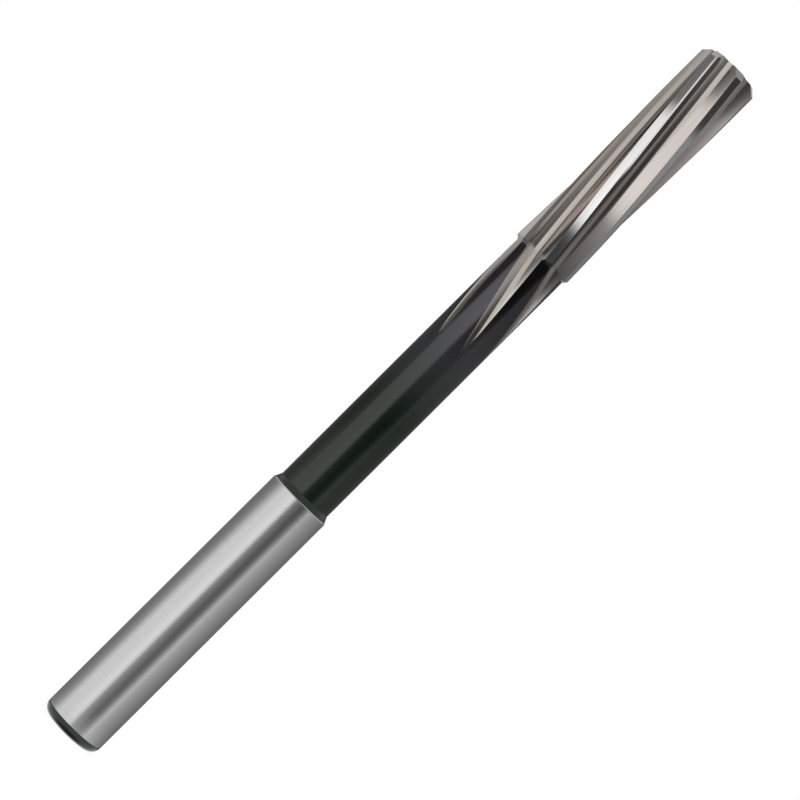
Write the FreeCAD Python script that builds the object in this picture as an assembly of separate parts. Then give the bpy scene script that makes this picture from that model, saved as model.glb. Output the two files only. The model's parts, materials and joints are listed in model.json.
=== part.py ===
"""Straight-shank machine reamer, nominal 10 mm, to the proportions of DIN 212 form B.

The tool is one piece of high-speed steel: a ground shank, a slimmer neck and a fluted cutting head.
Frame: origin at the centre of the shank's end face, +Z along the axis towards the cutting end, so the
tool stands on its shank. The first cutting lip lies on +X at the tip face.
Seen from the shank the tool turns clockwise, and its flutes wind the other way, like a left-hand thread.
Lengths are in millimetres, angles in degrees.
"""
import FreeCAD, Part
import math
import os

from FreeCAD import Placement, Rotation, Vector

# Lengths along the axis
overall_length = 133.0
shank_length = 46.5
cutting_length = 38.0

# Diameters
shank_d = 10.0
neck_d = 8.9
cutting_d = 10.0
back_taper = 0.02          # how much smaller the cutting diameter is at the back of the head

# Turned edges and shoulders
shank_end_r = 1.5          # rounds the rim of the shank's end
shank_edge_break = 0.12    # 45 degrees, at the shank's front edge
shoulder_angle = 25.0      # of the cone from the neck up to the shank, against the axis
lead_chamfer = 1.0         # 45 degrees, the bevel that does the cutting

# 60 degree centre holes, one in each end face
centre_pilot_d = 1.6
centre_mouth_d = 3.35
centre_pilot_length = 1.4
centre_angle = 60.0
drill_point_angle = 118.0

# Teeth: two equal sets of three uneven pitches, so that each lip has one straight opposite
pitch_after_first = 58.03
pitch_after_second = 62.08
helix_angle = 7.1
helix_hand = -1            # -1 winds to the left
margin_width = 0.28        # the cylindrical strip behind each lip
relief_angle = 13.5        # the flat behind the margin, measured from the tangent
lead_relief_angle = 12.0   # the flat behind each bevelled lip

# Flute section, square to the axis: a radial face, a round floor and a straight back
core_d = 6.7
flute_floor_r = 1.5
flute_angle = 80.0         # between the radial face and the back

# Run-out, where the flutes leave the metal on the neck
runout_length = 18.0
runout_swing = 14.5        # how far the flute turns ahead of its helix by the end
runout_curve = 0.6         # 0 lifts the floor at an even rate, more of it thins the end out gently

# Modelling values
clear_of_metal = 1.5       # how far a cutting tool's body stands outside the head
section_spacing = 2.5      # along the axis, between the sections of a helical tool

shank_r = shank_d / 2
neck_r = neck_d / 2
cutting_r = cutting_d / 2
core_r = core_d / 2
head_start = overall_length - cutting_length
degrees_per_mm = math.degrees(math.tan(math.radians(helix_angle))) / cutting_r


def lip_angles():
    """Polar angle of each lip at the tip face."""
    third = 180 - pitch_after_first - pitch_after_second
    first_set = [0, pitch_after_first, 180 - third]
    return first_set + [angle + 180 for angle in first_set]


def helix_turn(z):
    """How far the helix has turned at height z, counted from the tip face."""
    return helix_hand * degrees_per_mm * (z - overall_length)


def polar(radius, angle, z=0.0):
    return Vector(radius * math.cos(math.radians(angle)), radius * math.sin(math.radians(angle)), z)


def centre_hole_outline(face_z, inward):
    """Half section of a centre hole, from its deepest point on the axis to its mouth in the face."""
    pilot_r = centre_pilot_d / 2
    mouth_r = centre_mouth_d / 2
    cone_depth = (mouth_r - pilot_r) / math.tan(math.radians(centre_angle / 2))
    point_depth = pilot_r / math.tan(math.radians(drill_point_angle / 2))
    pilot_end = cone_depth + centre_pilot_length
    return [
        Vector(0, 0, face_z + inward * (pilot_end + point_depth)),
        Vector(pilot_r, 0, face_z + inward * pilot_end),
        Vector(pilot_r, 0, face_z + inward * cone_depth),
        Vector(mouth_r, 0, face_z),
    ]


def turned_blank():
    """The tool before its flutes are cut: one outline turned about the axis."""
    shoulder_r = shank_r - shank_edge_break
    shoulder_run = (shoulder_r - neck_r) / math.tan(math.radians(shoulder_angle))
    head_back_r = cutting_r - back_taper / 2
    rim_start = Vector(shank_r - shank_end_r, 0, 0)
    rim_middle = rim_start + shank_end_r * Vector(math.sin(math.pi / 4), 0, 1 - math.cos(math.pi / 4))
    rim_end = Vector(shank_r, 0, shank_end_r)
    above_rim = [
        rim_end,
        Vector(shank_r, 0, shank_length - shank_edge_break),
        Vector(shoulder_r, 0, shank_length),
        Vector(neck_r, 0, shank_length + shoulder_run),
        Vector(neck_r, 0, head_start - (head_back_r - neck_r)),
        Vector(head_back_r, 0, head_start),
        Vector(cutting_r, 0, overall_length - lead_chamfer),
        Vector(cutting_r - lead_chamfer, 0, overall_length),
    ] + centre_hole_outline(overall_length, -1)[::-1]
    below_rim = centre_hole_outline(0, 1) + [rim_start]
    edges = [Part.makeLine(a, b) for a, b in zip(below_rim, below_rim[1:])]
    edges.append(Part.Arc(rim_start, rim_middle, rim_end).toShape())
    edges += [Part.makeLine(a, b) for a, b in zip(above_rim, above_rim[1:])]
    edges.append(Part.makeLine(above_rim[-1], below_rim[0]))
    return Part.Face(Part.Wire(edges)).revolve(Vector(0, 0, 0), Vector(0, 0, 1), 360)


def floor_centre():
    """Centre of the flute's round floor: it touches the core and the radial face."""
    return Vector(math.sqrt((core_r + flute_floor_r) ** 2 - flute_floor_r**2), flute_floor_r, 0)


def flute_section(lift):
    """Closed outline of the space that a flute takes, with its lip's radial face on +X.

    lift moves the outline outwards, along the line from the axis to the centre of the floor.
    """
    centre = floor_centre()
    along_back = polar(1, flute_angle)
    into_flute = polar(1, flute_angle - 90)
    face_foot = Vector(centre.x, 0, 0)
    back_foot = centre - into_flute * flute_floor_r
    floor_middle = centre - polar(flute_floor_r, (90 + flute_angle - 90) / 2)
    reach = cutting_r + clear_of_metal
    across = along_back.dot(back_foot)
    back_length = math.sqrt(across**2 + reach**2 - back_foot.dot(back_foot)) - across
    face_top = Vector(reach, 0, 0)
    back_top = back_foot + along_back * back_length
    outline = Part.Wire([
        Part.makeLine(face_top, face_foot),
        Part.Arc(face_foot, floor_middle, back_foot).toShape(),
        Part.makeLine(back_foot, back_top),
        Part.makeLine(back_top, face_top),
    ])
    outline.translate(centre.normalize() * lift)
    return outline


def runout_share(z):
    """0 where the flute has its full depth, 1 where its floor meets the neck's surface."""
    left = min(1.0, 1 - (head_start - z) / runout_length)
    return 1 - left * (1 - runout_curve * (1 - left))


def heights(low, high):
    """Evenly spaced heights from low to high, both included."""
    steps = math.ceil((high - low) / section_spacing)
    return [low + (high - low) * i / steps for i in range(steps + 1)]


def helical_tool(section_at, low, high):
    """A solid through sections that are set at their heights and turned with the helix."""
    sections = []
    for z in heights(low, high):
        outline, extra_turn = section_at(z)
        outline.Placement = Placement(
            Vector(0, 0, z), Rotation(Vector(0, 0, 1), helix_turn(z) + extra_turn)
        ).multiply(outline.Placement)
        sections.append(outline)
    return Part.makeLoft(sections, True, False)


def flute_tool():
    """Clears one flute, from past the tip to where it has left the neck."""
    lift_to_surface = neck_r - core_r

    def section_at(z):
        share = runout_share(z)
        return flute_section(lift_to_surface * share), -helix_hand * runout_swing * share

    low = head_start - runout_length * 1.1
    return helical_tool(section_at, low, overall_length + clear_of_metal)


def relief_tool():
    """Clears the flat behind one margin, out to the middle of the flute behind it."""
    margin_angle = math.degrees(margin_width / cutting_r)
    half_pitch = pitch_after_first / 2
    far_r = cutting_r * math.cos(math.radians(relief_angle)) / math.cos(
        math.radians(half_pitch - margin_angle - relief_angle)
    )
    start = polar(cutting_r, -margin_angle)
    end = polar(far_r, -half_pitch)
    lead_in = start + (start - end).normalize() * clear_of_metal
    reach = cutting_r + clear_of_metal
    corners = [lead_in, end, polar(reach, -half_pitch), polar(reach, 0)]

    def section_at(z):
        return Part.makePolygon(corners + corners[:1]), 0.0

    return helical_tool(section_at, head_start - clear_of_metal, overall_length + clear_of_metal)


def lead_relief_tool():
    """Clears a flat behind the bevelled lip that lies on +X at the tip face."""
    size = cutting_r
    block = Part.makeBox(2 * size, size, size, Vector(-size, -size, 0))
    block.rotate(Vector(0, 0, 0), Vector(1, 0, 0), lead_relief_angle)
    block.rotate(Vector(0, 0, 0), Vector(0, 1, 0), 45)
    block.translate(Vector(cutting_r - lead_chamfer, 0, overall_length))
    return block


def around(tool):
    """One copy of a tool for each tooth."""
    copies = []
    for angle in lip_angles():
        copy = tool.copy()
        copy.rotate(Vector(0, 0, 0), Vector(0, 0, 1), angle)
        copies.append(copy)
    return copies


def reamer():
    body = turned_blank()
    for tool in (flute_tool(), relief_tool(), lead_relief_tool()):
        body = body.cut(around(tool))
    return body


os.makedirs("parts", exist_ok=True)
body = reamer()
body.exportStep("parts/machine_reamer.step")
print("solids", len(body.Solids), "faces", len(body.Faces), "valid", body.isValid(), "volume", body.Volume)
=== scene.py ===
import json
import math

import bpy
import numpy as np
from mathutils import Matrix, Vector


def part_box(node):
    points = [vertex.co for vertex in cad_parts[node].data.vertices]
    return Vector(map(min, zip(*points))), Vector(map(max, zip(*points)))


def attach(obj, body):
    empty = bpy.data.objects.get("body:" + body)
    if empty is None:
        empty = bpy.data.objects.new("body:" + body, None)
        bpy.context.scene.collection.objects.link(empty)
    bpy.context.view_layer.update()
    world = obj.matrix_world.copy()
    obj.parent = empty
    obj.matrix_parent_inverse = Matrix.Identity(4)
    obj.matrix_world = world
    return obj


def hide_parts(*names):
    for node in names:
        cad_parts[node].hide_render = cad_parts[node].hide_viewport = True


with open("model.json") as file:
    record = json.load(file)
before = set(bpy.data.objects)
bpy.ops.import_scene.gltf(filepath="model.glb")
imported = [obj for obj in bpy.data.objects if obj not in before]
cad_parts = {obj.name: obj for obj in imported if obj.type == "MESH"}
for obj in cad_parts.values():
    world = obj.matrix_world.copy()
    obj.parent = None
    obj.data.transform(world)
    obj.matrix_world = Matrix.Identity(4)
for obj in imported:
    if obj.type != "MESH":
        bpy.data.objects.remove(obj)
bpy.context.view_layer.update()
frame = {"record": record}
mm = 0.001

lowest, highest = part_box("machine_reamer")
shankMount = next(m for m in frame["record"]["mounts"] if m["name"] == "shank")
toolLength = (highest[2] - lowest[2]) / mm
shankRadius = shankMount["dims"]["r_mm"]

# the tool itself, in millimetres and degrees
tool = {
    "rimRadius": 1.5,          # rounds the shank's end
    "shankLength": 46.5,
    "edgeBreak": 0.12,         # at the shank's front edge
    "shoulderAngle": 25.0,     # of the cone down to the neck, against the axis
    "neckRadius": 4.45,
    "headLength": 38.0,
    "backTaper": 0.01,         # on the radius, from the bevel to the back of the head
    "bevel": 1.0,              # on the radius, at 45 degrees
    "bevelRelief": 12.0,
    "lips": [0.0, 58.03, 120.11, 180.0, 238.03, 300.11],
    "helixAngle": 7.1,
    "marginWidth": 0.28,
    "reliefAngle": 13.5,
    "coreRadius": 3.35,
    "floorRadius": 1.5,
    "fluteAngle": 80.0,
    "runoutLength": 18.0,
    "runoutSwing": 14.5,
    "runoutCurve": 0.6,        # how gently the flute thins out at its end
    "holePilot": 0.8,          # centre holes: radii and the pilot's length
    "holeMouth": 1.675,
    "holePilotLength": 1.4,
    "holeAngle": 60.0,
    "drillPoint": 118.0,
    "relaxLength": 7.0,        # below the flutes, where the grid evens out
    "edgeGap": 0.4,            # from an edge to the next row of the grid
    "bevelRows": 2.0,          # below the tip, where the rows start to follow the bevel
    "endRings": [2.3, 2.9],    # radii of the grid's rings on the shank's end face
}

# how many grid steps each stretch of a tooth gets, in order round the tool
steps = {"relief": 7, "margin": 2, "face": 3, "root": 3, "floor": 14, "backLow": 6, "backHigh": 6}

# how many rows each stretch along the tool gets, from the shank's end to the tip
rowCounts = {"rim": 13, "shank": 12, "shoulder": 3, "neck": 12, "runout": 80, "step": 4, "head": 90,
             "bevel": 8}

neckRadius = tool["neckRadius"]
headStart = toolLength - tool["headLength"]
headBack = shankRadius - tool["backTaper"]
stepFoot = headStart - (headBack - neckRadius)     # where the 45 degree step leaves the neck
shoulderSlope = math.tan(math.radians(tool["shoulderAngle"]))
shoulderRun = (shankRadius - tool["edgeBreak"] - neckRadius) / shoulderSlope
twist = math.degrees(math.tan(math.radians(tool["helixAngle"]))) / shankRadius
lips = np.array(tool["lips"])
pitches = np.diff(np.append(lips, lips[0] + 360.0))
marginAngle = math.degrees(tool["marginWidth"] / shankRadius)
reliefNormal = -(marginAngle + tool["reliefAngle"])   # direction of the relief flat's normal, from its lip
reliefReach = shankRadius * math.cos(math.radians(tool["reliefAngle"]))


# cosine and sine of an angle in degrees
def cosd(angle):
    return np.cos(np.radians(angle))


def sind(angle):
    return np.sin(np.radians(angle))


# radius of the turned tool before fluting, from its rounded rim to the cutting head
def blankRadius(z):
    rim = tool["rimRadius"]
    rounded = shankRadius - rim + np.sqrt(rim**2 - np.clip(rim - z, 0.0, rim) ** 2)
    broken = shankRadius - np.clip(z - tool["shankLength"] + tool["edgeBreak"], 0.0, tool["edgeBreak"])
    fall = (z - tool["shankLength"]) * shoulderSlope
    shoulder = np.maximum(shankRadius - tool["edgeBreak"] - fall, neckRadius)
    step = np.clip(headBack - (headStart - z), neckRadius, headBack)
    taper = (z - headStart) / (toolLength - tool["bevel"] - headStart) * tool["backTaper"]
    head = headBack + np.clip(taper, 0.0, tool["backTaper"])
    body = np.where(z < tool["shankLength"], np.minimum(rounded, broken), shoulder)
    return np.where(z < stepFoot, body, np.where(z < headStart, step, head))


# 0 in the head, growing to 1 where the flute leaves the neck: what is left of its depth shrinks
# with the distance left, and a little faster at first than at the end
def runoutShare(z):
    left = np.clip(1.0 - (headStart - z) / tool["runoutLength"], -0.3, 1.0)
    return 1.0 - left * (1.0 - tool["runoutCurve"] * (1.0 - left))


# corners of one flute's section, in its lip's frame: lip, root of the face, foot of the back, heel. The
# face is a radial line, the floor an arc that touches it and the core circle, and the back a straight
# line that leaves the arc at the flute angle. Where the flute has lifted so far that the tool's circle
# meets the arc, the corner is where they meet.
def fluteCorners(z, pitch):
    core, floor, opening = tool["coreRadius"], tool["floorRadius"], tool["fluteAngle"]
    centre = np.array([math.sqrt((core + floor) ** 2 - floor**2), floor])
    reach = np.hypot(*centre)
    lift = (neckRadius - core) * runoutShare(z)
    centreX = centre[0] * (1 + lift / reach)
    centreY = centre[1] * (1 + lift / reach)
    radius = blankRadius(z)
    heading = math.degrees(math.atan2(centre[1], centre[0]))
    distance = reach + lift
    spread = np.degrees(np.arccos(np.clip(
        (radius**2 + distance**2 - floor**2) / (2 * radius * distance), -1.0, 0.99999)))
    faceLeft = radius**2 - (centreY - floor) ** 2
    lipX = np.sqrt(np.maximum(faceLeft, 0.0))
    onFace = lipX >= centreX
    cutX, cutY = radius * cosd(heading - spread), radius * sind(heading - spread)
    lip = (np.where(onFace, lipX, cutX), np.where(onFace, centreY - floor, cutY))
    rootTurn = np.where(onFace, 270.0, np.degrees(np.arctan2(cutY - centreY, cutX - centreX)) % 360.0)
    footX, footY = centreX - floor * cosd(opening - 90.0), centreY - floor * sind(opening - 90.0)
    backX, backY = cosd(opening), sind(opening)
    across = footX * backX + footY * backY
    inside = across**2 - footX**2 - footY**2 + radius**2
    toCircle = np.sqrt(np.maximum(inside, 0.0)) - across
    normal = pitch + reliefNormal - tool["runoutSwing"] * runoutShare(z)
    closing = backX * cosd(normal) + backY * sind(normal)
    toRelief = (reliefReach - footX * cosd(normal) - footY * sind(normal)) / closing
    length = np.minimum(toCircle, toRelief)
    onBack = length >= 0.0
    endX, endY = radius * cosd(heading + spread), radius * sind(heading + spread)
    heel = (np.where(onBack, footX + backX * length, endX), np.where(onBack, footY + backY * length, endY))
    endTurn = np.degrees(np.arctan2(endY - centreY, endX - centreX)) % 360.0
    footTurn = np.where(onBack, 90.0 + opening, endTurn)
    return {"lip": lip, "centre": (centreX, centreY), "rootTurn": rootTurn, "footTurn": footTurn,
            "heel": heel}


# a point turned about the tool's axis
def turned(x, y, angle):
    return x * cosd(angle) - y * sind(angle), x * sind(angle) + y * cosd(angle)


# height of the relief flat behind a bevelled lip: it falls at 45 degrees outwards along the lip and at
# the relief angle behind it
def bevelHeight(x, y, lipAngle):
    u, v = turned(x, y, -lipAngle)
    behind = math.tan(math.radians(tool["bevelRelief"])) / math.cos(math.radians(45.0))
    return toolLength - (u - shankRadius + tool["bevel"]) + behind * v


# share at which a rising row of heights first passes the target
def crossing(share, height, target):
    return float(np.interp(target, height, share))


# one entry per grid line round the tool: its tooth, its stretch and how far along the stretch it lies
lineTooth, lineStretch, lineShare = [], [], []
for tooth in range(len(lips)):
    for stretch, count in steps.items():
        lineTooth += [tooth] * count
        lineStretch += [stretch] * count
        lineShare += list(np.arange(count) / count)
lineTooth = np.array(lineTooth)
lineStretch = np.array(lineStretch)
lineShare = np.array(lineShare)
lineCount = len(lineTooth)


# where the bevel's flats reach the tip face: shares of the floor arc and of each flute's back
def breakShares():
    tip = np.array(toolLength)
    arcShares, backShares = [], []
    for tooth, pitch in enumerate(pitches):
        corners = fluteCorners(tip, pitch)
        share = np.linspace(0.0, 1.0, 400)
        turn = corners["rootTurn"] + (corners["footTurn"] - corners["rootTurn"]) * share
        x = corners["centre"][0] + tool["floorRadius"] * cosd(turn)
        y = corners["centre"][1] + tool["floorRadius"] * sind(turn)
        arcShares.append(crossing(share, bevelHeight(x, y, 0.0), toolLength))
        footX = corners["centre"][0] + tool["floorRadius"] * cosd(corners["footTurn"])
        footY = corners["centre"][1] + tool["floorRadius"] * sind(corners["footTurn"])
        x = footX + (corners["heel"][0] - footX) * share
        y = footY + (corners["heel"][1] - footY) * share
        backShares.append(crossing(share, -bevelHeight(x, y, pitch), -toolLength))
    return np.array(arcShares), np.array(backShares)


arcBreak, backBreak = breakShares()


# point of each grid line at its own height: z has one column per grid line. Each line keeps its share
# of its stretch, and the whole section turns left-handed with height.
def toolPoint(z):
    pitch = pitches[lineTooth]
    radius = blankRadius(z)
    swing = tool["runoutSwing"] * runoutShare(z)
    own = fluteCorners(z, pitch)
    before = fluteCorners(z, pitches[lineTooth - 1])
    floor = tool["floorRadius"]

    # land: from the last flute's heel to this lip, on the blank or on the relief flat
    heelAngle = np.degrees(np.arctan2(before["heel"][1], before["heel"][0])) + swing - pitches[lineTooth - 1]
    lipAngle = np.degrees(np.arctan2(own["lip"][1], own["lip"][0])) + swing
    edgeAngle = reliefNormal + np.degrees(np.arccos(np.clip(reliefReach / np.maximum(radius, 1e-6), -1, 1)))
    edgeAngle = np.where(radius > reliefReach, edgeAngle, lipAngle - marginAngle)
    edgeAngle = np.minimum(edgeAngle, lipAngle - 0.1)
    onRelief = lineStretch == "relief"
    startAngle = np.where(onRelief, heelAngle, edgeAngle)
    endAngle = np.where(onRelief, edgeAngle, lipAngle)
    landAngle = startAngle + (endAngle - startAngle) * lineShare
    flat = reliefReach / np.maximum(cosd(landAngle - reliefNormal), 0.5)
    landRadius = np.where(z > stepFoot, np.minimum(radius, flat), radius)
    landX, landY = landRadius * cosd(landAngle), landRadius * sind(landAngle)

    # flute: face, floor arc and back
    lipX, lipY = own["lip"]
    centreX, centreY = own["centre"]
    split = arcBreak[lineTooth]
    arcShare = np.where(lineStretch == "root", split * lineShare, split + (1 - split) * lineShare)
    arcShare = np.where(lineStretch == "face", 0.0, arcShare)
    turn = own["rootTurn"] + (own["footTurn"] - own["rootTurn"]) * arcShare
    arcX, arcY = centreX + floor * cosd(turn), centreY + floor * sind(turn)
    footX = centreX + floor * cosd(own["footTurn"])
    footY = centreY + floor * sind(own["footTurn"])
    heelX, heelY = own["heel"]
    split = backBreak[lineTooth]
    backShare = np.where(lineStretch == "backLow", split * lineShare, split + (1 - split) * lineShare)
    x = np.where(lineStretch == "face", lipX + (arcX - lipX) * lineShare, arcX)
    y = np.where(lineStretch == "face", lipY + (arcY - lipY) * lineShare, arcY)
    onBack = np.char.startswith(lineStretch, "back")
    x = np.where(onBack, footX + (heelX - footX) * backShare, x)
    y = np.where(onBack, footY + (heelY - footY) * backShare, y)
    x, y = turned(x, y, swing)
    onLand = onRelief | (lineStretch == "margin")
    x, y = np.where(onLand, landX, x), np.where(onLand, landY, y)
    return turned(x, y, lips[lineTooth] + twist * (toolLength - z))


# height at which each grid line meets the tip: the bevel's flat or the tip face
def topHeights():
    high = np.full((1, lineCount), toolLength)
    ownLip = lips[lineTooth]
    nextLip = np.append(lips, 360.0)[lineTooth + 1]
    facing = np.where(lineStretch == "backHigh", nextLip, ownLip)
    bevelled = np.isin(lineStretch, ["relief", "margin", "face", "root", "backHigh"])
    for _ in range(40):
        x, y = toolPoint(high)
        wanted = np.minimum(bevelHeight(x, y, facing), toolLength)
        high = np.where(bevelled, 0.5 * high + 0.5 * wanted, toolLength)
    return high[0]


# heights of every grid point on the tool's side, close together at its edges and along the helix
def sideRows(topHeight):
    fluteEnd = headStart - tool["runoutLength"]
    shank = tool["shankLength"]
    rim = tool["rimRadius"] * (1.0 - cosd(np.linspace(0.0, 90.0, rowCounts["rim"])))
    neckStart = shank + shoulderRun
    levels = np.concatenate([
        rim,
        np.linspace(rim[-1], shank - tool["edgeBreak"], rowCounts["shank"])[1:],
        np.linspace(shank, neckStart, rowCounts["shoulder"]),
        np.linspace(neckStart + tool["edgeGap"], fluteEnd - tool["relaxLength"], rowCounts["neck"]),
        np.linspace(fluteEnd - tool["relaxLength"], stepFoot, rowCounts["runout"])[1:],
        np.linspace(stepFoot, headStart, rowCounts["step"])[1:],
        np.linspace(headStart, toolLength - tool["bevelRows"], rowCounts["head"])[1:],
    ])
    below = np.repeat(levels[:, None], lineCount, axis=1)
    rise = np.linspace(0.0, 1.0, rowCounts["bevel"])[1:, None]
    above = levels[-1] + (topHeight[None, :] - levels[-1]) * rise
    return np.vstack([below, above])


topHeight = topHeights()
sideZ = sideRows(topHeight)
sideX, sideY = toolPoint(sideZ)

# below the flutes the section is round, and its lines even out to equal angles
fluteEnd = headStart - tool["runoutLength"]
relax = np.clip((fluteEnd + tool["edgeGap"] - sideZ) / tool["relaxLength"], 0.0, 1.0)
relax = relax * relax * (3 - 2 * relax)
angle = np.degrees(np.unwrap(np.arctan2(sideY, sideX), axis=1))
evenAngle = np.arange(lineCount) / lineCount * 360.0 + twist * (toolLength - fluteEnd)
drift = np.mean(angle - evenAngle, axis=1, keepdims=True)
angle = angle + relax * (evenAngle + np.round(drift / 360.0) * 360.0 - angle)
roundRadius = blankRadius(sideZ)
isRound = relax > 0
sideX = np.where(isRound, roundRadius * cosd(angle), sideX)
sideY = np.where(isRound, roundRadius * sind(angle), sideY)
topLow, topHigh = float(topHeight.min()), float(topHeight.max())
print("side grid", sideX.shape, "top from", round(topLow, 3), "to", round(topHigh, 3))

finishes = ["groundShank", "blackOxide", "blackStep", "groundFlute", "paintedShadeFace", "groundLand",
            "groundMargin", "groundBevel", "turnedEnd"]
pointSets, faceSets, uvSets, finishSets = [], [], [], []


# quads between neighbouring points of a grid, rows by columns; finish is a number for each quad
def addGrid(x, y, z, u, v, finish):
    rows, columns = x.shape
    first = sum(len(points) for points in pointSets)
    index = first + np.arange(rows * columns).reshape(rows, columns)
    quads = np.stack([index[:-1, :-1], index[:-1, 1:], index[1:, 1:], index[1:, :-1]], axis=-1)
    flow = np.stack([u, v], axis=-1).reshape(-1, 2)
    pointSets.append(np.stack([x, y, z], axis=-1).reshape(-1, 3))
    faceSets.append(quads.reshape(-1, 4))
    uvSets.append(flow[quads.reshape(-1, 4) - first])
    finishSets.append(np.broadcast_to(finish, (rows - 1, columns - 1)).reshape(-1))


# the grid with its first column again at the end, so that it closes round the tool
def closed(grid):
    return np.concatenate([grid, grid[:, :1]], axis=1)


# radius and depth of a centre hole's rings, from its point to its mouth
def centreHole():
    cone = (tool["holeMouth"] - tool["holePilot"]) / math.tan(math.radians(tool["holeAngle"] / 2))
    point = tool["holePilot"] / math.tan(math.radians(tool["drillPoint"] / 2))
    bottom = cone + tool["holePilotLength"]
    radii = np.array([0.0, 0.5, 1.0, 1.0, 1.0]) * tool["holePilot"]
    radii = np.append(radii, np.linspace(tool["holePilot"], tool["holeMouth"], 4)[1:])
    depths = np.array([bottom + point, bottom + point / 2, bottom, (bottom + cone) / 2, cone])
    return radii, np.append(depths, np.linspace(cone, 0.0, 4)[1:])


# place on the flute of each grid line: 0 to 1 down the face, to 2 along the floor, to 3 up the back
arcSplit, backSplit = arcBreak[lineTooth], backBreak[lineTooth]
toothPlace = np.select(
    [lineStretch == "face", lineStretch == "root", lineStretch == "floor", lineStretch == "backLow",
     lineStretch == "backHigh"],
    [lineShare, 1 + arcSplit * lineShare, 1 + arcSplit + (1 - arcSplit) * lineShare,
     2 + backSplit * lineShare, 2 + backSplit + (1 - backSplit) * lineShare], 3.0)

# how far down the flute the face's darker finish reaches, on the same scale: painted shade over the face and
# the start of the floor
paintedShadeReach = 1.9


# finish of each quad on the tool's side: by its height, and by its stretch of the tooth
def finishOfSide():
    middle = (sideZ[:-1] + sideZ[1:]) / 2
    inFlute = np.isin(lineStretch, ["face", "root", "floor", "backLow", "backHigh"])[None, :]
    onFace = (toothPlace < paintedShadeReach)[None, :]
    land = np.where(lineStretch == "margin", finishes.index("groundMargin"), finishes.index("groundLand"))
    onLand = np.where(middle > headStart, land[None, :], finishes.index("blackOxide"))
    # the face and the floor next to it get the darker finish: painted shade for the flute's dark side
    cut = np.where(onFace, finishes.index("paintedShadeFace"), finishes.index("groundFlute"))
    onFlute = np.where(middle > fluteEnd, cut, finishes.index("blackOxide"))
    number = np.where(inFlute, onFlute, onLand)
    onStep = (middle > stepFoot) & (middle < headStart) & ~inFlute
    number = np.where(onStep, finishes.index("blackStep"), number)
    number = np.where(middle < tool["shankLength"], finishes.index("groundShank"), number)
    return np.where(middle < tool["rimRadius"], finishes.index("blackOxide"), number)


# the tool's side, and its flow map: millimetres round the head's section, and along the tool
reference = int(np.argmin(np.abs(sideZ[:, 0] - (headStart + toolLength) / 2)))
around = np.hypot(np.diff(closed(sideX)[reference]), np.diff(closed(sideY)[reference]))
flowU = np.broadcast_to(np.append(0.0, np.cumsum(around)), (len(sideZ), lineCount + 1))
addGrid(closed(sideX), closed(sideY), closed(sideZ), flowU, closed(sideZ), finishOfSide())

# the shank's end face and its centre hole
holeRadii, holeDepths = centreHole()
endAngle = np.degrees(np.arctan2(sideY[0], sideX[0]))
endRings = tool["endRings"] + [shankRadius - tool["rimRadius"]]
endRadii = np.append(holeRadii, endRings)[:, None]
endDepths = np.append(holeDepths, np.zeros(len(endRings)))[:, None] + np.zeros((1, lineCount))
endX, endY = endRadii * cosd(endAngle), endRadii * sind(endAngle)
turnedEnd = finishes.index("turnedEnd")
addGrid(closed(endX), closed(endY), closed(endDepths), closed(endX), closed(endY), turnedEnd)

# the bevel's relief flat on each tooth: a patch between four curves, and the tip face's outline
topX, topY = sideX[-1], sideY[-1]
top = np.stack([topX, topY, topHeight], axis=-1)
perTooth = sum(steps.values())
landSteps = steps["relief"] + steps["margin"]
sideSteps = steps["backHigh"]
outline = []
for tooth in range(len(lips)):
    start = tooth * perTooth
    land = top[start:start + landSteps + 1]
    leading = top[start + landSteps:start + landSteps + sideSteps + 1]
    trailing = top[(np.arange(start, start - sideSteps - 1, -1)) % lineCount]
    share = np.linspace(0.0, 1.0, landSteps + 1)[None, :, None]
    rise = np.linspace(0.0, 1.0, sideSteps + 1)[:, None, None]
    ridge = trailing[-1] + (leading[-1] - trailing[-1]) * share[0]
    lower = (1 - share) * land[0] + share * land[-1]
    upper = (1 - share) * ridge[0] + share * ridge[-1]
    patch = (1 - rise) * land[None] + rise * ridge[None]
    patch = patch + (1 - share) * trailing[:, None] + share * leading[:, None]
    patch = patch - (1 - rise) * lower - rise * upper
    addGrid(*np.moveaxis(patch, -1, 0), patch[..., 0], patch[..., 1], finishes.index("groundBevel"))
    outline += [ridge[:-1], top[start + landSteps + sideSteps:start + perTooth - sideSteps]]
outline = np.concatenate(outline)

# the tip face, from the outline in to the centre hole
tipAngle = np.degrees(np.arctan2(outline[:, 1], outline[:, 0]))
inward = np.linspace(1.0, 0.0, 5)[:, None]
tipRadii = tool["holeMouth"] + (np.hypot(outline[:, 0], outline[:, 1]) - tool["holeMouth"]) * inward
tipRadii = np.concatenate([tipRadii, holeRadii[::-1][1:, None] + np.zeros((1, len(outline)))])
tipZ = toolLength - np.append(np.zeros(4), holeDepths[::-1])[:, None] + np.zeros((1, len(outline)))
tipX, tipY = tipRadii * cosd(tipAngle), tipRadii * sind(tipAngle)
addGrid(closed(tipX), closed(tipY), closed(tipZ), closed(tipX), closed(tipY), turnedEnd)


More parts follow.
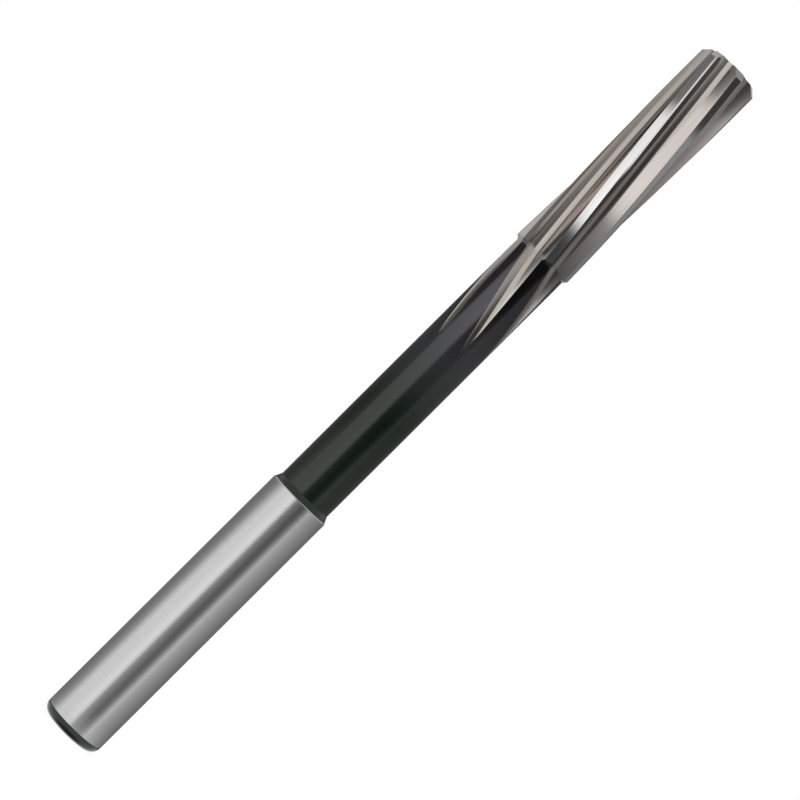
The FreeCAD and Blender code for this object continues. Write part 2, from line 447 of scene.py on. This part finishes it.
# one closed mesh of all the grids, with its seams and poles joined and its real edges kept sharp
def buildMesh(name, sharpAngle=11.0, joinDistance=2e-7):
    points, quads = np.concatenate(pointSets) * mm, np.concatenate(faceSets)
    flow, finish = np.concatenate(uvSets), np.concatenate(finishSets)
    spots = np.round(points / joinDistance)
    _, first, same = np.unique(spots, axis=0, return_index=True, return_inverse=True)
    points, quads = points[first], same.reshape(-1)[quads]
    whole = np.count_nonzero(np.diff(np.sort(quads, axis=1), axis=1), axis=1) >= 2
    quads, flow, finish = quads[whole], flow[whole], finish[whole]
    distinct = quads != np.roll(quads, 1, axis=1)
    corners = quads[distinct]
    starts = np.append(0, np.cumsum(distinct.sum(axis=1))[:-1])
    mesh = bpy.data.meshes.new(name)
    mesh.vertices.add(len(points))
    mesh.vertices.foreach_set("co", points.ravel())
    mesh.loops.add(len(corners))
    mesh.loops.foreach_set("vertex_index", corners.astype(np.int32))
    mesh.polygons.add(len(starts))
    mesh.polygons.foreach_set("loop_start", starts.astype(np.int32))
    mesh.update(calc_edges=True)
    mesh.polygons.foreach_set("material_index", finish.astype(np.int32))
    layer = mesh.uv_layers.new(name="flow")
    layer.data.foreach_set("uv", flow[distinct].ravel())
    mesh.validate()
    mesh.shade_smooth()
    mesh.set_sharp_from_angle(angle=math.radians(sharpAngle))
    return mesh


mesh = buildMesh("ground_reamer")
reamer = bpy.data.objects.new("ground_reamer", mesh)
bpy.context.collection.objects.link(reamer)
print("tool mesh", len(mesh.vertices), "points", len(mesh.polygons), "faces")


# an empty node group with its named inputs and outputs
def makeGroup(name, inputs, outputs):
    group = bpy.data.node_groups.new(name, "ShaderNodeTree")
    for label, kind, value in inputs:
        socket = group.interface.new_socket(label, in_out="INPUT", socket_type=kind)
        socket.default_value = value
    for label, kind in outputs:
        group.interface.new_socket(label, in_out="OUTPUT", socket_type=kind)
    return group, group.nodes.new("NodeGroupInput"), group.nodes.new("NodeGroupOutput")


# fine lines left by a wheel: noise drawn out along one direction, in two widths
def grindingGroup():
    group, given, result = makeGroup("grindingLines", [
        ("Place", "NodeSocketVector", (0, 0, 0)),
        ("Stretch", "NodeSocketVector", (1, 1, 1)),
    ], [("Lines", "NodeSocketFloat"), ("Bands", "NodeSocketFloat")])
    link = group.links.new
    scaled = group.nodes.new("ShaderNodeVectorMath")
    scaled.operation = "MULTIPLY"
    link(given.outputs["Place"], scaled.inputs[0])
    link(given.outputs["Stretch"], scaled.inputs[1])
    fine = group.nodes.new("ShaderNodeTexNoise")
    fine.inputs["Scale"].default_value = 1.0
    fine.inputs["Detail"].default_value = 3.0
    link(scaled.outputs[0], fine.inputs["Vector"])
    broad = group.nodes.new("ShaderNodeTexNoise")
    broad.inputs["Scale"].default_value = 0.22
    broad.inputs["Detail"].default_value = 2.0
    link(scaled.outputs[0], broad.inputs["Vector"])
    link(fine.outputs["Fac"], result.inputs["Lines"])
    link(broad.outputs["Fac"], result.inputs["Bands"])
    return group


grinding = grindingGroup()


# a grey level read from a list of (place, level), whose places run from -reach to reach as the value
# runs from -half to half
def rampOf(nodes, link, value, half, reach, levels):
    share = nodes.new("ShaderNodeMapRange")
    share.inputs["From Min"].default_value = -half
    share.inputs["From Max"].default_value = half
    link(value, share.inputs["Value"])
    ramp = nodes.new("ShaderNodeValToRGB")
    band = ramp.color_ramp
    while len(band.elements) < len(levels):
        band.elements.new(0.5)
    for element, (place, level) in zip(band.elements, levels):
        element.position = (place + reach) / (2 * reach)
        element.color = (level, level, level, 1.0)
    link(share.outputs["Result"], ramp.inputs["Fac"])
    return ramp.outputs["Color"]


# steel with lines from its last cut: they vary its colour and roughness and stand up a little
def finishMaterial(name, look):
    material = bpy.data.materials.new(name)
    material.use_nodes = True
    nodes, link = material.node_tree.nodes, material.node_tree.links.new
    nodes.clear()
    output = nodes.new("ShaderNodeOutputMaterial")
    shader = nodes.new("ShaderNodeBsdfPrincipled")
    link(shader.outputs["BSDF"], output.inputs["Surface"])
    shader.inputs["Metallic"].default_value = look["metallic"]
    shader.inputs["IOR"].default_value = 1.6
    shader.inputs["Specular Tint"].default_value = (*look["sheen"], 1.0)
    place = nodes.new("ShaderNodeTexCoord")
    lines = nodes.new("ShaderNodeGroup")
    lines.node_tree = grinding
    link(place.outputs["UV" if look["along"] == "flow" else "Object"], lines.inputs["Place"])
    lines.inputs["Stretch"].default_value = look["stretch"]
    tint = nodes.new("ShaderNodeMix")
    tint.data_type = "RGBA"
    tint.inputs["A"].default_value = (*look["dark"], 1.0)
    tint.inputs["B"].default_value = (*look["light"], 1.0)
    spread = nodes.new("ShaderNodeMapRange")
    spread.inputs["From Min"].default_value = 0.3
    spread.inputs["From Max"].default_value = 0.7
    link(lines.outputs["Bands"], spread.inputs["Value"])
    link(spread.outputs["Result"], tint.inputs["Factor"])
    colour = tint.outputs["Result"]
    # the change is a painted highlight: between its two heights the colour turns to a grey metal, so the
    # neck's reflection grows brighter towards the head
    if "change" in look:
        change = look["change"]
        height = nodes.new("ShaderNodeSeparateXYZ")
        link(place.outputs["Object"], height.inputs[0])
        highlightShare = nodes.new("ShaderNodeMapRange")
        highlightShare.interpolation_type = "SMOOTHSTEP"
        highlightShare.inputs["From Min"].default_value = change["from"] * mm
        highlightShare.inputs["From Max"].default_value = change["to"] * mm
        link(height.outputs["Z"], highlightShare.inputs["Value"])
        paintedHighlight = nodes.new("ShaderNodeMix")
        paintedHighlight.data_type = "RGBA"
        paintedHighlight.inputs["B"].default_value = (*change["colour"], 1.0)
        link(highlightShare.outputs["Result"], paintedHighlight.inputs["Factor"])
        link(colour, paintedHighlight.inputs["A"])
        link(paintedHighlight.outputs["Result"], shader.inputs["Base Color"])
        metal = nodes.new("ShaderNodeMix")
        metal.inputs["A"].default_value = look["metallic"]
        metal.inputs["B"].default_value = change["metallic"]
        link(highlightShare.outputs["Result"], metal.inputs["Factor"])
        link(metal.outputs["Result"], shader.inputs["Metallic"])
    else:
        link(colour, shader.inputs["Base Color"])
    rough = nodes.new("ShaderNodeMapRange")
    rough.inputs["To Min"].default_value = look["roughness"][0]
    rough.inputs["To Max"].default_value = look["roughness"][1]
    link(lines.outputs["Lines"], rough.inputs["Value"])
    link(rough.outputs["Result"], shader.inputs["Roughness"])
    bump = nodes.new("ShaderNodeBump")
    bump.inputs["Strength"].default_value = look["bump"]
    bump.inputs["Distance"].default_value = look["depth"] * mm
    link(lines.outputs["Lines"], bump.inputs["Height"])
    link(bump.outputs["Normal"], shader.inputs["Normal"])
    return material


# stretch is in lines per metre on the object, and per millimetre on the flow map
looks = {
    "groundShank": {"metallic": 1.0, "along": "object", "stretch": (60, 60, 14000), "sheen": (1, 1, 1),
                    "dark": (0.585, 0.58, 0.59), "light": (0.62, 0.615, 0.62),
                    "roughness": (0.14, 0.18), "bump": 0.15, "depth": 0.0015},
    "blackOxide": {"metallic": 0.0, "along": "object", "stretch": (80, 80, 5000), "sheen": (0.93, 1, 0.94),
                   "dark": (0.0006, 0.0058, 0.0028), "light": (0.0012, 0.0072, 0.0038),
                   "roughness": (0.1, 0.15), "bump": 0.2, "depth": 0.002,
                   # blackOxide's change is a painted highlight: from 62 to 88 mm the neck turns to grey
                   # metal so its reflection brightens towards the head
                   "change": {"from": 62.0, "to": 88.0, "colour": (0.092, 0.089, 0.097), "metallic": 1.0}},
    "groundFlute": {"metallic": 1.0, "along": "flow", "stretch": (9, 0.12, 1), "sheen": (1, 1, 1),
                    "dark": (0.58, 0.525, 0.495), "light": (0.68, 0.625, 0.595),
                    "roughness": (0.11, 0.17), "bump": 0.35, "depth": 0.004},
    # the face's steel is darker and its reflection is dimmed by half: painted shade for the flute's dark
    # side
    "paintedShadeFace": {"metallic": 1.0, "along": "flow", "stretch": (9, 0.12, 1), "sheen": (0.5, 0.5, 0.5),
                   "dark": (0.46, 0.42, 0.385), "light": (0.53, 0.49, 0.455),
                   "roughness": (0.14, 0.2), "bump": 0.3, "depth": 0.003},
    "groundLand": {"metallic": 1.0, "along": "flow", "stretch": (10, 0.1, 1), "sheen": (1, 1, 1),
                   "dark": (0.76, 0.755, 0.75), "light": (0.86, 0.855, 0.85),
                   "roughness": (0.08, 0.12), "bump": 0.2, "depth": 0.002},
    "groundMargin": {"metallic": 1.0, "along": "flow", "stretch": (10, 0.1, 1), "sheen": (1, 1, 1),
                     "dark": (0.62, 0.61, 0.605), "light": (0.7, 0.69, 0.685),
                     "roughness": (0.08, 0.12), "bump": 0.1, "depth": 0.001},
    "groundBevel": {"metallic": 1.0, "along": "flow", "stretch": (6, 1.0, 1), "sheen": (1, 1, 1),
                    "dark": (0.5, 0.46, 0.43), "light": (0.58, 0.54, 0.505),
                    "roughness": (0.16, 0.24), "bump": 0.25, "depth": 0.002},
    "turnedEnd": {"metallic": 1.0, "along": "flow", "stretch": (3, 3, 1), "sheen": (1, 1, 1),
                  "dark": (0.30, 0.30, 0.30), "light": (0.38, 0.38, 0.38),
                  "roughness": (0.25, 0.35), "bump": 0.3, "depth": 0.003},
}
# the step up to the head is black all over: it has none of the neck's change, the painted highlight that
# brightens the neck towards the head
looks["blackStep"] = {key: value for key, value in looks["blackOxide"].items() if key != "change"}
for finish in finishes:
    mesh.materials.append(finishMaterial(finish, looks[finish]))

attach(reamer, "root")
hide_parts("machine_reamer")

print("finishes made:", len(finishes))

view = {
    "bearing": -27.0,      # where the camera stands round the tool, in degrees from +X
    "distance": 451.0,     # millimetres from the axis
    "lean": 44.89,         # how far the tool leans in the view, in degrees
    "lens": 143.1,
}
toCamera = np.array([math.cos(math.radians(view["bearing"])), math.sin(math.radians(view["bearing"])), 0.0])
across = np.array([-toCamera[1], toCamera[0], 0.0])       # to the lower right of the view
along = np.array([0.0, 0.0, 1.0])
lean = math.radians(view["lean"])
right = math.cos(lean) * along + math.sin(lean) * across
up = math.sin(lean) * along - math.cos(lean) * across
place = (toCamera * view["distance"] + along * toolLength / 2) * mm
camera = bpy.data.objects.new("camera", bpy.data.cameras.new("camera"))
camera.data.lens = view["lens"]
camera.data.sensor_width = 36.0
camera.data.clip_start = 0.01
turn = np.eye(4)
turn[:3, 0], turn[:3, 1], turn[:3, 2], turn[:3, 3] = right, up, toCamera, place
camera.matrix_world = Matrix(turn.tolist())
bpy.context.collection.objects.link(camera)
bpy.context.scene.camera = camera

print("camera set")

# brightness of the room: its walls by degrees round the tool from the camera, and the rest by degrees
# above the horizon
studio = {
    "walls": [(-180, 0.18), (-125, 0.25), (-100, 0.38), (-72, 0.97), (-45, 0.98), (-20, 1.15), (-11, 0.95),
              (-4, 0.38), (8, 0.25), (23, 0.12), (34, 0.19), (42, 0.38), (52, 0.74), (75, 0.48), (100, 0.35),
              (135, 0.22), (180, 0.17)],
    "upperWalls": [(-180, 0.14), (-110, 0.15), (-73, 0.18), (-64, 0.95), (-45, 1.0), (-20, 1.1), (-12, 0.95),
                   (-5, 0.12), (0, 0.05), (30, 0.035), (48, 0.05), (55, 0.27), (85, 0.27), (100, 0.24),
                   (135, 0.17), (180, 0.14)],
    "change": (-2.2, -0.2),    # degrees above the horizon where the walls give way to the upper ones
    "wallShare": [(-90, 0.0), (-16, 0.0), (-9.5, 1.0), (10, 1.0), (22, 0.0), (90, 0.0)],
    "floorAndCeiling": [(-90, 0.1), (-65, 0.3), (-50, 0.85), (-16, 0.85), (22, 0.6), (60, 0.6), (90, 0.35)],
    "dome": 1.0,
}


# the room round the tool: walls near the horizon, plain floor and ceiling beyond, white to the camera
def studioWorld():
    world = bpy.data.worlds.new("studio")
    bpy.context.scene.world = world
    world.use_nodes = True
    nodes, link = world.node_tree.nodes, world.node_tree.links.new
    nodes.clear()
    place = nodes.new("ShaderNodeTexCoord")
    rotated = nodes.new("ShaderNodeVectorRotate")
    rotated.rotation_type = "Z_AXIS"
    rotated.inputs["Angle"].default_value = -math.radians(view["bearing"])
    link(place.outputs["Generated"], rotated.inputs["Vector"])
    parts = nodes.new("ShaderNodeSeparateXYZ")
    link(rotated.outputs["Vector"], parts.inputs[0])
    bearing = nodes.new("ShaderNodeMath")
    bearing.operation = "ARCTAN2"
    link(parts.outputs["Y"], bearing.inputs[0])
    link(parts.outputs["X"], bearing.inputs[1])
    walls = rampOf(nodes, link, bearing.outputs[0], math.pi, 180.0, studio["walls"])
    upper = rampOf(nodes, link, bearing.outputs[0], math.pi, 180.0, studio["upperWalls"])
    elevation = nodes.new("ShaderNodeMath")
    elevation.operation = "ARCSINE"
    link(parts.outputs["Z"], elevation.inputs[0])
    raised = nodes.new("ShaderNodeMapRange")
    raised.interpolation_type = "SMOOTHSTEP"
    raised.inputs["From Min"].default_value = math.radians(studio["change"][0])
    raised.inputs["From Max"].default_value = math.radians(studio["change"][1])
    link(elevation.outputs[0], raised.inputs["Value"])
    bothWalls = nodes.new("ShaderNodeMix")
    bothWalls.data_type = "RGBA"
    link(raised.outputs["Result"], bothWalls.inputs["Factor"])
    link(walls, bothWalls.inputs["A"])
    link(upper, bothWalls.inputs["B"])
    wallShare = rampOf(nodes, link, elevation.outputs[0], math.pi / 2, 90.0, studio["wallShare"])
    plain = rampOf(nodes, link, elevation.outputs[0], math.pi / 2, 90.0, studio["floorAndCeiling"])
    room = nodes.new("ShaderNodeMix")
    room.data_type = "RGBA"
    link(wallShare, room.inputs["Factor"])
    link(plain, room.inputs["A"])
    link(bothWalls.outputs["Result"], room.inputs["B"])
    path = nodes.new("ShaderNodeLightPath")
    lighting = nodes.new("ShaderNodeMix")
    lighting.data_type = "RGBA"
    lighting.inputs["A"].default_value = (studio["dome"],) * 3 + (1.0,)
    link(path.outputs["Is Glossy Ray"], lighting.inputs["Factor"])
    link(room.outputs["Result"], lighting.inputs["B"])
    seen = nodes.new("ShaderNodeMix")
    seen.data_type = "RGBA"
    seen.inputs["B"].default_value = (1.0, 1.0, 1.0, 1.0)
    link(path.outputs["Is Camera Ray"], seen.inputs["Factor"])
    link(lighting.outputs["Result"], seen.inputs["A"])
    background = nodes.new("ShaderNodeBackground")
    link(seen.outputs["Result"], background.inputs["Color"])
    output = nodes.new("ShaderNodeOutputWorld")
    link(background.outputs[0], output.inputs["Surface"])


studioWorld()


floorLook = {"halfSize": 3.0, "grey": 0.9, "seenWhite": 1.06, "whiteShare": 0.85}     # size in metres


# pale floor that the camera sees as near white, with the tool's shadow on it; steel sees past it
def floorMaterial():
    material = bpy.data.materials.new("paleFloor")
    material.use_nodes = True
    nodes, link = material.node_tree.nodes, material.node_tree.links.new
    nodes.clear()
    diffuse = nodes.new("ShaderNodeBsdfDiffuse")
    diffuse.inputs["Color"].default_value = (floorLook["grey"],) * 3 + (1.0,)
    white = nodes.new("ShaderNodeEmission")
    white.inputs["Strength"].default_value = floorLook["seenWhite"]
    path = nodes.new("ShaderNodeLightPath")
    share = nodes.new("ShaderNodeMath")
    share.operation = "MULTIPLY"
    share.inputs[1].default_value = floorLook["whiteShare"]
    link(path.outputs["Is Camera Ray"], share.inputs[0])
    lit = nodes.new("ShaderNodeMixShader")
    link(share.outputs[0], lit.inputs["Fac"])
    link(diffuse.outputs[0], lit.inputs[1])
    link(white.outputs[0], lit.inputs[2])
    clear = nodes.new("ShaderNodeBsdfTransparent")
    passed = nodes.new("ShaderNodeMixShader")
    link(path.outputs["Is Glossy Ray"], passed.inputs["Fac"])
    link(lit.outputs[0], passed.inputs[1])
    link(clear.outputs[0], passed.inputs[2])
    output = nodes.new("ShaderNodeOutputMaterial")
    link(passed.outputs[0], output.inputs["Surface"])
    return material


half = floorLook["halfSize"]
floorMesh = bpy.data.meshes.new("floor")
square = [(-half, -half, 0), (half, -half, 0), (half, half, 0), (-half, half, 0)]
floorMesh.from_pydata(square, [], [(0, 1, 2, 3)])
floorMesh.materials.append(floorMaterial())
floor = bpy.data.objects.new("floor", floorMesh)
bpy.context.collection.objects.link(floor)

bpy.context.scene.view_settings.view_transform = "Standard"
print("stage and camera ready")
